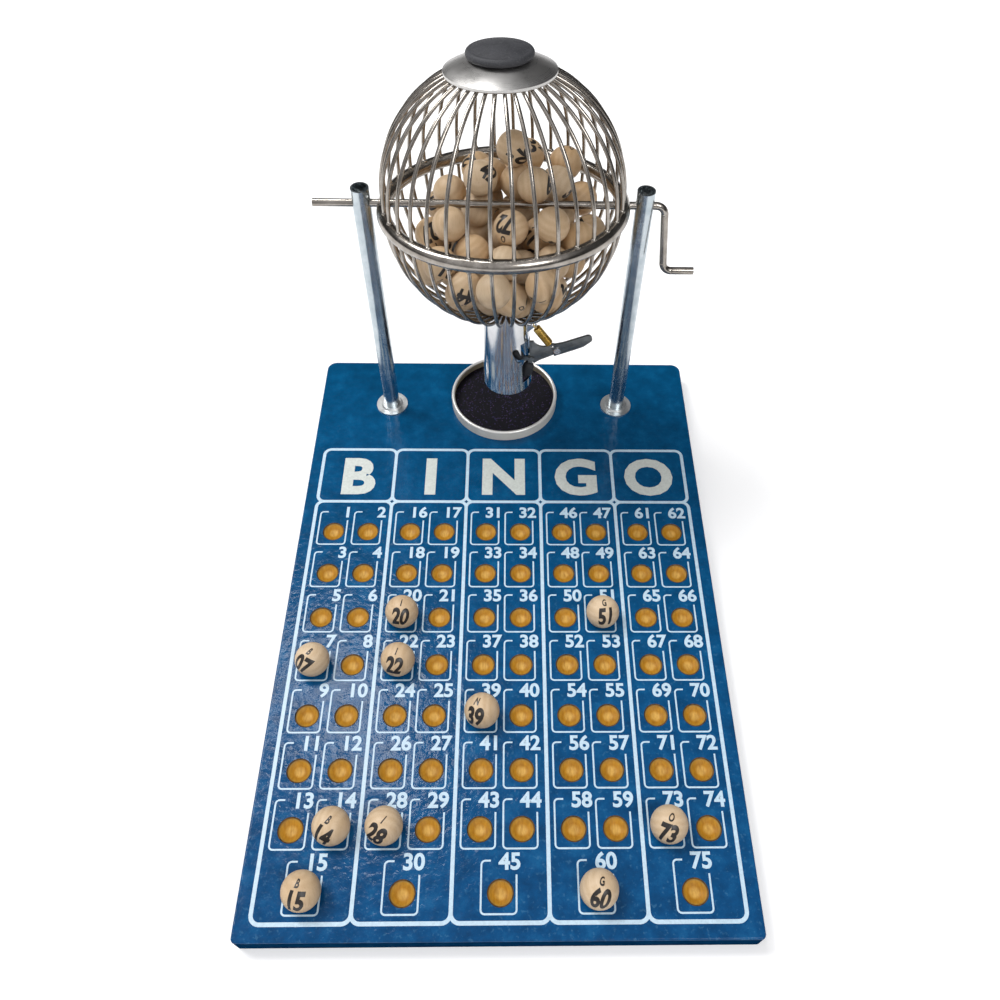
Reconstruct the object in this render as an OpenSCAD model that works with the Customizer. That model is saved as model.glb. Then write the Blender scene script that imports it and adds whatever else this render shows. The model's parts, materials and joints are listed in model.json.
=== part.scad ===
// Table bingo set: a wire cage with a crank and a ball release, two posts,
// a catch tray and a board with a drilled seat for each of the 75 balls.
// Origin: centre of the board's underside. +X is the crank's side, +Y the back, +Z up.

/* [Board] */
// Width of the board
board_w = 240; // [236:1:260]
// Depth of the board
board_d = 360; // [352:1:380]
// Thickness of the board
board_h = 12; // [10:0.5:18]
// Radius of the two back corners
back_corner_r = 6; // [3:0.5:10]
// Radius of the two front corners
front_corner_r = 2.5; // [2:0.5:8]
// Radius of the board's top edge
edge_r = 1; // [0.5:0.25:1.5]

/* [Ball seats] */
// Spacing of the five letter columns
column_pitch = 45; // [43:0.5:46]
// Spacing of the two seats in a column
seat_pitch = 20.2; // [19:0.2:21]
// Spacing of the seat rows
row_pitch = 28.6; // [26:0.2:29]
// Distance of the first seat row from the front edge
first_row_y = 20.3; // [18:0.1:24]
// Width of a seat at the board's face
seat_d = 12.6; // [11:0.2:14]
// Diameter of a ball
ball_d = 18; // [16:0.5:18]

/* [Posts] */
// Distance from the centre to each post's axis
post_x = 73.5; // [73:0.5:76]
// Distance of the posts from the board's back edge
post_inset = 38.5; // [36:0.5:50]
// Height of the posts above the board
post_h = 163.2; // [160:0.2:175]
// Outside diameter of a post
post_d = 9.6; // [9:0.2:10]
// Wall of a post
post_wall = 1; // [0.8:0.1:1.4]
// Distance of the axle hole below the post's top
hole_drop = 9; // [7:0.5:12]
// Outside diameter of a foot washer
washer_d = 20; // [18:0.5:24]

/* [Cage] */
// Lean of the cage at rest, with its tube towards the front
cage_tilt = 8.5; // [0:0.5:9]
// Sideways lean of the cage on its axle, with its tube towards the crank
cage_lean = 1.2; // [0:0.2:1.2]
// Centre-line radius of the equator ring
ring_r = 62; // [61:0.5:62.5]
// Thickness of the equator ring's bar
ring_bar_d = 7.3; // [6.5:0.1:7.5]
// Number of wires in each half
wire_count = 36; // [30:1:36]
// Diameter of a wire
wire_d = 2; // [1.6:0.1:2.2]
// Height of the upper dome's centre above the ring
dome_rise = 8; // [7:0.5:9]

/* [Cap and plug] */
// Outside radius of the cap
cap_r = 27; // [26:0.5:29]
// Radius of the filling hole
fill_hole_r = 14; // [12:0.5:15]
// Radius of the plug's flange
plug_r = 16.2; // [16:0.2:18]

/* [Axle and crank] */
// Diameter of the axle rod
rod_d = 4.1; // [3.8:0.1:4.2]
// Left end of the axle
axle_left = -98.9; // [-104:0.1:-92]
// Start of the crank's first bend
crank_x = 79.6; // [79.4:0.2:84]
// Length of the straight part of the crank's arm
crank_arm = 29; // [26:0.5:40]
// Angle of the two crank bends
crank_bend = 84.6; // [80:0.2:90]
// Length of the straight part of the handle
crank_grip = 12.4; // [11:0.2:24]

/* [Discharge tube] */
// Height of the tube's mouth below the axle
tube_mouth = 112; // [111:0.5:114]
// Outside radius of the tube at its top
tube_top_r = 13; // [12.8:0.1:13.2]
// Outside radius of the tube at its mouth
tube_mouth_r = 14.5; // [14.3:0.1:15]
// Wall of the tube
tube_wall = 1.1; // [1:0.1:1.2]

/* [Tray] */
// Outside radius of the tray
tray_r = 34.2; // [32:0.2:36]
// Height of the tray
tray_h = 7.3; // [6.5:0.1:9]
// Distance of the tray's centre from the board's back edge
tray_inset = 34.5; // [34.5:0.5:40]

/* [Hidden] */
$fn = 64;
BIG = 400;
CLEAR = 0.3;
WELD = 0.3;
RUNNING = 0.05;

ball_r = ball_d / 2;
wire_r = wire_d / 2;
rod_r = rod_d / 2;
bar_r = ring_bar_d / 2;
post_y = board_d / 2 - post_inset;
axle_z = board_h + post_h - hole_drop;

// Seats: a ball-nose cut a little wider in curve than the ball.
seat_curve_r = ball_r + 0.2;
seat_depth = seat_curve_r - sqrt(pow(seat_curve_r, 2) - pow(seat_d / 2, 2));
seat_rows = 8;
// The numbers of the balls that stand on their seats.
placed_balls = [7, 14, 15, 20, 22, 28, 39, 51, 60, 73];

// Column (0 to 4), row (0 at the front) and side (-1, 0 or 1) of a number.
function column_of(n) = floor((n - 1) / 15);
function place_of(n) = (n - 1) % 15;
function row_of(n) = place_of(n) == 14 ? 0 : seat_rows - 1 - floor(place_of(n) / 2);
function side_of(n) = place_of(n) == 14 ? 0 : 2 * (place_of(n) % 2) - 1;
function seat_xy(n) = [
    (column_of(n) - 2) * column_pitch + side_of(n) * seat_pitch / 2,
    first_row_y - board_d / 2 + row_of(n) * row_pitch,
];

// Cap: a shallow spun dome.
cap_curve_r = 60;
cap_wall = 1;
cap_top = 72;
cap_centre = cap_top - sqrt(pow(cap_curve_r, 2) - pow(fill_hole_r, 2));
function cap_height(r, curve) = cap_centre + sqrt(pow(curve, 2) - pow(r, 2));
rim_roll_r = 0.9;
cap_rim_z = cap_height(cap_r, cap_curve_r) - rim_roll_r;
// Angle at which an upper wire reaches the inside of the cap.
dome_end = 66.5;

// Plug: a stem in the filling hole under a domed flange with a round edge.
plug_stem_r = fill_hole_r - 0.2;
plug_stem_h = 9;
plug_edge_r = 1.9;
plug_dome_h = 6;

// Lower half: round all the way to the tube, which starts a little above the wires' ends.
bowl_angle = acos((tube_top_r - WELD) / ring_r);
tube_top = sqrt(pow(ring_r, 2) - pow(tube_top_r, 2)) - 0.8;

// Crank bends.
bend_r = 5;
bead_gap = 0.15;
bead_rise = 0.05;

// Release lever, in a plane in front of the tube's axis.
lever_y = -5.5;
lever_plate = 1.5;
pivot = [14.2, -94];
pin_r = 1.1;
prong_r = 1.3;
finger_r = 3.1;
upper_elbow = [8.4, -93.4];
upper_tip = [4.8, -89.4];
lower_tip = [11.4, -103.7];
rivet_at = [29.2, -87.4];
lever_hook = [26.4, -86];
lever_notch = [21.55, -79.03];
lever_notch_r = 6.6;
window_front = 5.5;
window_back = 3.9;
ear_offset = 4.7;
ear_t = 1;

// Return spring, between the lug on the tube and the lever.
lug_hook = [15.6, -70.5];
spring_r = 2.5;
spring_wire_r = 0.35;
hook_r = 1.5;
hook_hole_r = 1;
spring_end_gap = 3;

tray_y = board_d / 2 - tray_inset;
tray_wall = 0.8;
tray_roll_r = 1.1;
lining_h = 0.8;

post_bore_r = post_d / 2 - post_wall;
screw_r = 2;
screw_head_r = 4;
screw_head_h = 2.2;
plug_h = 22;

// ---------- frames of reference ----------

// The axle's own frame: the rod is X, the crank points down.
module on_axle() {
    translate([0, post_y, axle_z]) rotate([-cage_tilt, 0, 0]) children();
}

// The cage's own frame: the ring is level, the tube points down.
module in_cage() {
    on_axle() rotate([0, -cage_lean, 0]) children();
}

// Turns an outline in X and Z into a plate that faces the front.
module upright_plate(thickness) {
    rotate([90, 0, 0]) translate([0, 0, -thickness / 2]) linear_extrude(thickness) children();
}

// ---------- shared shapes ----------

module strip_2d(from, to, r) {
    run = to - from;
    translate(from) rotate(atan2(run[1], run[0])) translate([0, -r]) square([norm(run), 2 * r]);
}

module slot_2d(from, to, r) {
    strip_2d(from, to, r);
    translate(from) circle(r);
    translate(to) circle(r);
}

module torus(ring_radius, bar_radius) {
    rotate_extrude($fn = 96) translate([ring_radius, 0]) circle(bar_radius, $fn = 32);
}

// A bend in the rod, in the XZ plane, that starts along +X and turns down.
module bend_down(angle) {
    translate([0, 0, -bend_r]) rotate([90, 0, 0]) rotate(90 - angle)
        rotate_extrude(angle = angle) translate([bend_r, 0]) circle(rod_r);
}

// A straight length of the rod. A bead, a hair thicker than the rod, joins it to a bend.
module rod_length(from, to) {
    run = to - from;
    turn = [0, 90 - atan2(run[1], run[0]), 0];
    translate([from[0], 0, from[1]]) rotate(turn) translate([0, 0, bead_gap])
        cylinder(h = norm(run) - 2 * bead_gap, r = rod_r);
}

module rod_bead(at) {
    translate([at[0], 0, at[1]]) sphere(rod_r + bead_rise);
}

// ---------- board ----------

module slab_profile(length) {
    translate([-length / 2, 0]) square([length, board_h - edge_r]);
    translate([-length / 2 + edge_r, 0]) square([length - 2 * edge_r, board_h]);
    for (side = [-1, 1])
        translate([side * (length / 2 - edge_r), board_h - edge_r]) circle(edge_r);
}

module slab_corner(corner_r) {
    rotate_extrude() {
        square([corner_r, board_h - edge_r]);
        square([corner_r - edge_r, board_h]);
        translate([corner_r - edge_r, board_h - edge_r]) circle(edge_r);
    }
}

module slab() {
    deep = board_d / 2;
    wide = board_w / 2;
    intersection() {
        for (part = [[front_corner_r, -deep], [back_corner_r, 0]])
            translate([0, part[1], 0]) intersection() {
                rotate([90, 0, 90]) translate([-part[1], 0, part[0] - wide])
                    linear_extrude(board_w - 2 * part[0]) slab_profile(board_d);
                translate([-wide, 0, 0]) cube([board_w, deep, board_h]);
            }
        translate([-wide, -deep, 0]) cube([board_w, board_d, board_h]);
    }
    translate([0, deep - back_corner_r, 0]) rotate([90, 0, 0])
        linear_extrude(board_d - back_corner_r - front_corner_r) slab_profile(board_w);
    for (side = [-1, 1]) {
        translate([side * (wide - back_corner_r), deep - back_corner_r, 0])
            slab_corner(back_corner_r);
        translate([side * (wide - front_corner_r), front_corner_r - deep, 0])
            slab_corner(front_corner_r);
    }
}

module base_board() {
    color("steelblue") difference() {
        slab();
        for (n = [1:75])
            translate(concat(seat_xy(n), board_h - seat_depth + seat_curve_r))
                sphere(seat_curve_r);
        for (side = [-1, 1]) translate([side * post_x, post_y, -1]) {
            cylinder(h = board_h + 2, r = screw_r + 0.1);
            cylinder(h = 1 + screw_head_h + 0.6, r = screw_head_r + 0.3);
        }
    }
}

module board_balls() {
    color("burlywood") for (n = placed_balls)
        translate(concat(seat_xy(n), board_h - seat_depth + ball_r + 0.02)) sphere(ball_r);
}

// ---------- posts ----------

module post(side) {
    translate([side * post_x, post_y, board_h]) difference() {
        cylinder(h = post_h, r = post_d / 2);
        translate([0, 0, -1]) cylinder(h = post_h + 2, r = post_bore_r);
        translate([-BIG / 2, 0, post_h - hole_drop]) rotate([0, 90, 0])
            cylinder(h = BIG, r = rod_r + RUNNING);
    }
}

module left_post() {
    color("lightsteelblue") post(-1);
}

module right_post() {
    color("lightsteelblue") post(1);
}

module foot_washers() {
    boss_r = 0.7 * washer_d / 2;
    color("gainsboro") for (side = [-1, 1])
        translate([side * post_x, post_y, board_h]) difference() {
            union() {
                cylinder(h = 1, r = washer_d / 2);
                cylinder(h = 2, r1 = boss_r + 0.8, r2 = boss_r - 0.8);
            }
            translate([0, 0, -1]) cylinder(h = 4, r = post_d / 2 + RUNNING);
        }
}

module post_plugs() {
    color("gray") for (side = [-1, 1])
        translate([side * post_x, post_y, board_h]) difference() {
            cylinder(h = plug_h, r = post_bore_r - 0.01);
            translate([0, 0, -1]) cylinder(h = plug_h - 3, r = screw_r + 0.01);
        }
}

module post_screws() {
    color("silver") for (side = [-1, 1]) translate([side * post_x, post_y, 0.6]) {
        difference() {
            cylinder(h = screw_head_h, r = screw_head_r);
            translate([-screw_head_r, -0.5, -1]) cube([2 * screw_head_r, 1, 1.8]);
        }
        cylinder(h = board_h + plug_h - 6, r = screw_r);
    }
}

// ---------- tray ----------

module tray_dish() {
    color("ivory") translate([0, tray_y, board_h]) rotate_extrude() {
        square([tray_r - tray_wall / 2, tray_wall]);
        translate([tray_r - tray_wall, 0]) square([tray_wall, tray_h - tray_roll_r]);
        translate([tray_r - tray_wall - 0.1, tray_h - tray_roll_r]) circle(tray_roll_r, $fn = 32);
    }
}

module tray_lining() {
    color("black") translate([0, tray_y, board_h + tray_wall])
        cylinder(h = lining_h, r = tray_r - tray_wall - 0.5);
}

// ---------- cage ----------

module crank_axle() {
    arm_dir = [cos(crank_bend), -sin(crank_bend)];
    bend_run = [bend_r * sin(crank_bend), -bend_r * (1 - cos(crank_bend))];
    arm_start = [crank_x, 0] + bend_run;
    arm_end = arm_start + crank_arm * arm_dir;
    grip_start = arm_end + bend_run;
    grip_end = grip_start + [crank_grip, 0];
    color("silver") on_axle() {
        rod_length([axle_left, 0], [crank_x, 0]);
        translate([crank_x, 0, 0]) bend_down(crank_bend);
        rod_length(arm_start, arm_end);
        translate([grip_start[0], 0, grip_start[1]]) rotate([0, 180, 0]) bend_down(crank_bend);
        rod_length(grip_start, grip_end);
        for (at = [[crank_x, 0], arm_start, arm_end, grip_start]) rod_bead(at);
    }
}

module equator_ring() {
    color("gray") in_cage() difference() {
        torus(ring_r, bar_r);
        rotate([0, 90 + cage_lean, 0]) translate([0, 0, -BIG / 2])
            cylinder(h = BIG, r = rod_r + 0.01);
    }
}

// Wires alternate sides of the axle so that none meets it.
module each_wire() {
    for (i = [0:wire_count - 1]) rotate((i + 0.5) * 360 / wire_count) children();
}

module upper_wires() {
    start = bar_r - WELD;
    color("silver") in_cage() each_wire() {
        translate([ring_r, 0, start]) cylinder(h = dome_rise - start, r = wire_r, $fn = 24);
        translate([0, 0, dome_rise]) rotate([90, 0, 0])
            rotate_extrude(angle = dome_end) translate([ring_r, 0]) circle(wire_r, $fn = 24);
    }
}

module lower_wires() {
    start = asin((bar_r - WELD) / ring_r);
    color("silver") in_cage() each_wire()
        rotate([90, 0, 0]) rotate(-bowl_angle) rotate_extrude(angle = bowl_angle - start)
            translate([ring_r, 0]) circle(wire_r, $fn = 24);
}

module filler_cap() {
    color("lightgray") in_cage() difference() {
        union() {
            intersection() {
                translate([0, 0, cap_centre]) difference() {
                    sphere(cap_curve_r);
                    sphere(cap_curve_r - cap_wall);
                }
                cylinder(h = BIG, r = cap_r);
            }
            translate([0, 0, cap_rim_z]) torus(cap_r - rim_roll_r, rim_roll_r);
        }
        cylinder(h = BIG, r = fill_hole_r);
    }
}

module filler_plug() {
    seat_z = cap_height(fill_hole_r, cap_curve_r) + CLEAR;
    flat_r = plug_r - plug_edge_r;
    crown = plug_dome_h - 2 * plug_edge_r + 0.15;
    dome_r = (pow(flat_r, 2) + pow(crown, 2)) / (2 * crown);
    color("dimgray") in_cage() translate([0, 0, seat_z]) {
        translate([0, 0, -plug_stem_h]) cylinder(h = plug_stem_h + 1, r = plug_stem_r);
        cylinder(h = 2 * plug_edge_r, r = flat_r);
        translate([0, 0, plug_edge_r]) torus(flat_r, plug_edge_r);
        intersection() {
            translate([0, 0, plug_dome_h - dome_r]) sphere(dome_r);
            translate([0, 0, plug_edge_r]) cylinder(h = plug_dome_h, r = flat_r);
        }
    }
}

module discharge_tube() {
    level_cut = 60;
    color("lightgray") in_cage() difference() {
        rotate_extrude() polygon([
            [tube_top_r, -tube_top], [tube_top_r - tube_wall, -tube_top],
            [tube_mouth_r - tube_wall, -tube_mouth - 4], [tube_mouth_r, -tube_mouth - 4]
        ]);
        // The mouth is cut level with the board.
        translate([0, 0, -tube_mouth]) rotate([cage_tilt, 0, 0])
            translate([-level_cut / 2, -level_cut / 2, -level_cut]) cube(level_cut);
        // Side window that both fingers swing in.
        translate([0, lever_y - window_front, -107.8])
            cube([30, window_front + window_back, 27]);
        // Notch that the lever's pin passes.
        translate([pivot[0], 2, pivot[1]]) rotate([90, 0, 0]) cylinder(h = 6, r = pin_r + CLEAR);
        // Narrow slanted slot in the front.
        translate([0, -15, 0]) upright_plate(12) slot_2d([4.9, -84.6], [7.4, -91.2], 1.8);
    }
}

// The tube's outer shape, made larger or smaller all round, with no bore.
module tube_core(extra) {
    slope = (tube_mouth_r - tube_top_r) / (tube_mouth + 4 - tube_top);
    axis_r = tube_top_r + extra - slope * tube_top;
    rotate_extrude() polygon([
        [0, 0], [0, -BIG / 2], [axis_r + slope * BIG / 2, -BIG / 2], [axis_r, 0]
    ]);
}

// One ear behind the lever, which carries its pin.
module lever_bracket() {
    color("silver") in_cage() difference() {
        translate([0, lever_y + ear_offset, 0]) upright_plate(ear_t) difference() {
            union() {
                polygon([[6, -98.5], pivot + [0.6, -2.4], pivot + [1.2, 2.2],
                    [12, -89.5], [6, -88.5]]);
                translate(pivot) circle(2.5);
            }
            translate(pivot) circle(pin_r + 0.02);
        }
        tube_core(-WELD);
    }
}

module spring_lug() {
    color("silver") in_cage() difference() {
        translate([0, lever_y, 0]) upright_plate(1) difference() {
            union() {
                polygon([[8, -79], lug_hook + [0.4, -1.7], lug_hook + [0.6, 1.7], [14, -71],
                    [8, -70.2]]);
                translate(lug_hook) circle(1.75);
            }
            translate(lug_hook) circle(hook_hole_r);
        }
        tube_core(-WELD);
    }
}

module lever_pin() {
    head_h = 0.6;
    back = ear_offset + ear_t / 2 + 0.4;
    front = lever_plate / 2 + CLEAR;
    color("white") in_cage() translate([pivot[0], lever_y, pivot[1]]) rotate([90, 0, 0]) {
        translate([0, 0, -back]) cylinder(h = back + front, r = pin_r, $fn = 32);
        translate([0, 0, front]) cylinder(h = head_h, r = pin_r + 0.6, $fn = 32);
    }
}

// ---------- release lever ----------

// The two prongs under the rubber, with a wider knee at the upper one's elbow.
module prongs_2d() {
    strip_2d(pivot, upper_elbow, prong_r);
    strip_2d(upper_elbow, upper_tip, prong_r);
    translate(upper_elbow) circle(prong_r + 0.2);
    strip_2d(pivot, lower_tip, prong_r);
}

module release_lever() {
    color("dimgray") in_cage() translate([0, lever_y, 0]) upright_plate(lever_plate)
        difference() {
            union() {
                polygon([pivot + [-0.9, 0], pivot + [1.6, -3.2], [19, -95], [27.3, -91.2],
                    [32.6, -88.9], [33, -84.8], [27.6, -84], [15.5, -81.9], [13.3, -81.9]]);
                translate(pivot) circle(2.3);
                prongs_2d();
            }
            translate(lever_notch) circle(lever_notch_r);
            translate(pivot) circle(pin_r + RUNNING);
            translate(rivet_at) circle(pin_r + 0.02);
            translate(lever_hook) circle(hook_hole_r);
        }
}

module lever_handle() {
    tip_r = 2.5;
    tip = [47, -79.6];
    color("gray") in_cage() translate([0, lever_y - lever_plate - 0.02, 0])
        upright_plate(lever_plate) difference() {
            union() {
                polygon([[27.5, -91.2], [39, -87], [44.6, -84.7], tip + [1.5, -2],
                    tip + [-1, 2.3], [33, -82], [27.2, -83.3]]);
                translate(tip) circle(tip_r);
            }
            translate(rivet_at) circle(pin_r + 0.02);
        }
}

module lever_rivet() {
    stack = 2 * lever_plate + 0.1;
    color("white") in_cage() translate([rivet_at[0], lever_y - lever_plate / 2, rivet_at[1]])
        rotate([90, 0, 0]) {
            translate([0, 0, -stack / 2]) cylinder(h = stack, r = pin_r, $fn = 32);
            for (side = [-1, 1]) translate([0, 0, side * (stack / 2 + 0.35)])
                cylinder(h = 0.7, r = 2, center = true, $fn = 32);
        }
}

module sleeve(from, to, r) {
    run = to - from;
    difference() {
        translate([from[0], lever_y, from[1]]) rotate([0, 90 - atan2(run[1], run[0]), 0]) {
            cylinder(h = norm(run), r = r, $fn = 48);
            sphere(r, $fn = 48);
            translate([0, 0, norm(run)]) sphere(r, $fn = 48);
        }
        translate([0, lever_y, 0]) upright_plate(lever_plate) prongs_2d();
    }
}

module upper_finger_sleeve() {
    start = upper_elbow + 0.36 * (upper_tip - upper_elbow);
    color("black") in_cage() sleeve(start, upper_tip, finger_r - 0.3);
}

module lower_finger_sleeve() {
    start = pivot + 0.6 * (lower_tip - pivot);
    color("black") in_cage() sleeve(start, lower_tip, finger_r + 0.2);
}

module lever_spring() {
    run = lever_hook - lug_hook;
    length = norm(run);
    coil_start = spring_end_gap;
    coil_length = length - 2 * spring_end_gap;
    color("goldenrod") in_cage() translate([lug_hook[0], lever_y, lug_hook[1]])
        rotate([0, 90 - atan2(run[1], run[0]), 0]) {
            translate([0, 0, coil_start]) difference() {
                cylinder(h = coil_length, r = spring_r);
                translate([0, 0, 0.8]) cylinder(h = coil_length - 1.6, r = spring_r - 0.8);
            }
            for (z = [hook_r - 0.2, length - hook_r + 0.2])
                translate([0, 0, z]) rotate([90, 0, 90]) torus(hook_r, spring_wire_r);
        }
}

// ---------- balls in the cage ----------

// Reach of a ball's centre from the cage's centre, against the wires.
ball_reach = ring_r - wire_r - ball_r - CLEAR;
// Furthest a ball's centre may be from the cage's axis beside the ring.
ring_reach = ring_r - bar_r - ball_r - CLEAR;
ball_gap = ball_d + 0.06;
axle_gap = ball_r + rod_r + CLEAR;
cage_ball_count = 75 - len(placed_balls);
trials = 260;

// Lowest place for a ball's centre over the wires alone, at a distance from the axis.
function wire_floor(r) = -sqrt(max(0, pow(ball_reach, 2) - r * r));

// Place for a ball's centre when it drops onto another ball.
function on_ball(p, q) =
    let (flat = pow(p[0] - q[0], 2) + pow(p[1] - q[1], 2))
    flat >= ball_gap * ball_gap ? -BIG : q[2] + sqrt(ball_gap * ball_gap - flat);

// Place for a ball that drops along the cage's axis onto the wires, the balls and the axle.
function drop(p, balls) =
    let (low = max(concat([wire_floor(norm(p))], [for (q = balls) on_ball(p, q)])))
    let (over_axle = abs(p[1]) >= axle_gap ? -BIG : sqrt(pow(axle_gap, 2) - p[1] * p[1]))
    abs(p[1]) < axle_gap && abs(low) < over_axle ? over_axle : low;

// Height of a place over the board, with a slope that makes the heap peak at heap_top.
heap_top = [7, 15];
heap_slope = 0.6;
function level(p) = p[2] * cos(cage_tilt) - p[1] * sin(cage_tilt)
    + heap_slope * norm([p[0], p[1]] - heap_top);

// A place in the cage's frame, in the axle's frame.
function leaned(p) = [
    p[0] * cos(cage_lean) - p[2] * sin(cage_lean), p[1],
    p[0] * sin(cage_lean) + p[2] * cos(cage_lean)
];

function lowest(places, i = 0, best = 0) = i == len(places) ? places[best]
    : lowest(places, i + 1, level(places[i]) < level(places[best]) ? i : best);

function heap(balls, radii, turns) = len(balls) >= cage_ball_count ? balls
    : let (k = len(balls) * trials)
      let (places = [for (i = [0:trials - 1])
          let (r = ring_reach * sqrt(radii[k + i]))
          let (p = [r * cos(turns[k + i]), r * sin(turns[k + i])])
          [p[0], p[1], drop(p, balls)]])
      heap(concat(balls, [lowest(places)]), radii, turns);

module cage_balls() {
    draws = cage_ball_count * trials;
    // The first ball waits on the upper finger, the second sits on it.
    first = leaned([-1.6, 1.6, -80.6]);
    second = leaned([1.5, -1.2, -62.7]);
    color("burlywood") on_axle()
        for (p = heap([first, second], rands(0, 1, draws, 7), rands(0, 360, draws, 8)))
            translate(p) sphere(ball_r);
}

base_board();
left_post();
right_post();
foot_washers();
post_plugs();
post_screws();
tray_dish();
tray_lining();
board_balls();
crank_axle();
equator_ring();
upper_wires();
lower_wires();
filler_cap();
filler_plug();
discharge_tube();
lever_bracket();
spring_lug();
lever_pin();
release_lever();
lever_handle();
lever_rivet();
upper_finger_sleeve();
lower_finger_sleeve();
lever_spring();
cage_balls();
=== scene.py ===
import json
import math

import bmesh
import bpy
import numpy as np
from mathutils import Matrix, Vector


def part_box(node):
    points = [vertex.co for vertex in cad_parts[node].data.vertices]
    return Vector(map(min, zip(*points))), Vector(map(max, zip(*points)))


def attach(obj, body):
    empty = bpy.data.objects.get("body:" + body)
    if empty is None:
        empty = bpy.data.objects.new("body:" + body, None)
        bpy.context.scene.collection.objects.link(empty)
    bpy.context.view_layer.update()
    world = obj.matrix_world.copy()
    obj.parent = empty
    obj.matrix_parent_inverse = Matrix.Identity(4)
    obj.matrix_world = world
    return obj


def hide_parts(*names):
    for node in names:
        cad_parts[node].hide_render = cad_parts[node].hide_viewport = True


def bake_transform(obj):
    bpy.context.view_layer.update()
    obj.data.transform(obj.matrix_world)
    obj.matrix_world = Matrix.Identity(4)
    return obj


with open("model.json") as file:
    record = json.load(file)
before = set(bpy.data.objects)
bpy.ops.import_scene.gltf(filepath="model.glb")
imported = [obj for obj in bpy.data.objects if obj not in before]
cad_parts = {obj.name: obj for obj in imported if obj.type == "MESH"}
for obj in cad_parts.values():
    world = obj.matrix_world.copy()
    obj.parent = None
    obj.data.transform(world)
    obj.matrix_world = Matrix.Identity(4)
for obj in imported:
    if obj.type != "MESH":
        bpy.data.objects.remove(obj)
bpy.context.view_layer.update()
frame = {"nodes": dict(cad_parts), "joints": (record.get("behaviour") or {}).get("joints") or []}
NODES = frame["nodes"]
JOINTS = {joint["name"]: joint for joint in frame["joints"]}
MM = 0.001

# ---------- places taken from the frame ----------

BOARD_LOW, BOARD_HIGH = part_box("base_board")
BOARD_TOP = BOARD_HIGH.z
TRAY_LOW, TRAY_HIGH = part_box("tray_dish")
AXLE = Vector(JOINTS["cage_spin"]["pos_m"])
CAGE_UP = Vector(JOINTS["plug_pull"]["axis"]).normalized()
CAGE_BACK = Vector(JOINTS["lever_press"]["axis"]).normalized()
CAGE_SIDE = CAGE_BACK.cross(CAGE_UP).normalized()
CAGE_FRAME = Matrix.Translation(AXLE) @ Matrix((CAGE_SIDE, CAGE_BACK, CAGE_UP)).transposed().to_4x4()

# ---------- driving sizes, in millimetres ----------

LETTERS = "BINGO"
COLUMN_NUMBERS = 15
LAST_NUMBER = 75
COLUMN_PITCH = 45.0
SEAT_PITCH = 20.2
ROW_PITCH = 28.6
FIRST_ROW = 20.3
SEAT_R = 6.3
SEAT_DEPTH = 2.46
BALL_R = 9.0
PRINT_BOTTOM = 7.6
PRINT_SPLIT = 242.5
PRINT_TOP = 283.0
PRINT_LIFT = 0.03
INK_THICKNESS = 0.05
COLUMN_LINE = 1.9
COLUMN_CORNER_R = 4.2
CELL_LINE = 0.85
CELL_CORNER_R = 1.8
FIGURE_H = 9.4
LETTER_H = 4.2
FIGURE_SQUEEZE = 0.74
MARK_LIFT = 0.012
RING_R = 62.0
WIRE_COUNT = 36
WELD_RISE = 3.5
PLACED_BALLS = (7, 14, 15, 20, 22, 28, 39, 51, 60, 73)
LUG_HOOK = Vector((15.6, -5.5, -70.5))
LEVER_HOOK = Vector((26.4, -5.5, -86.0))


# ---------- node materials ----------

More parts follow.
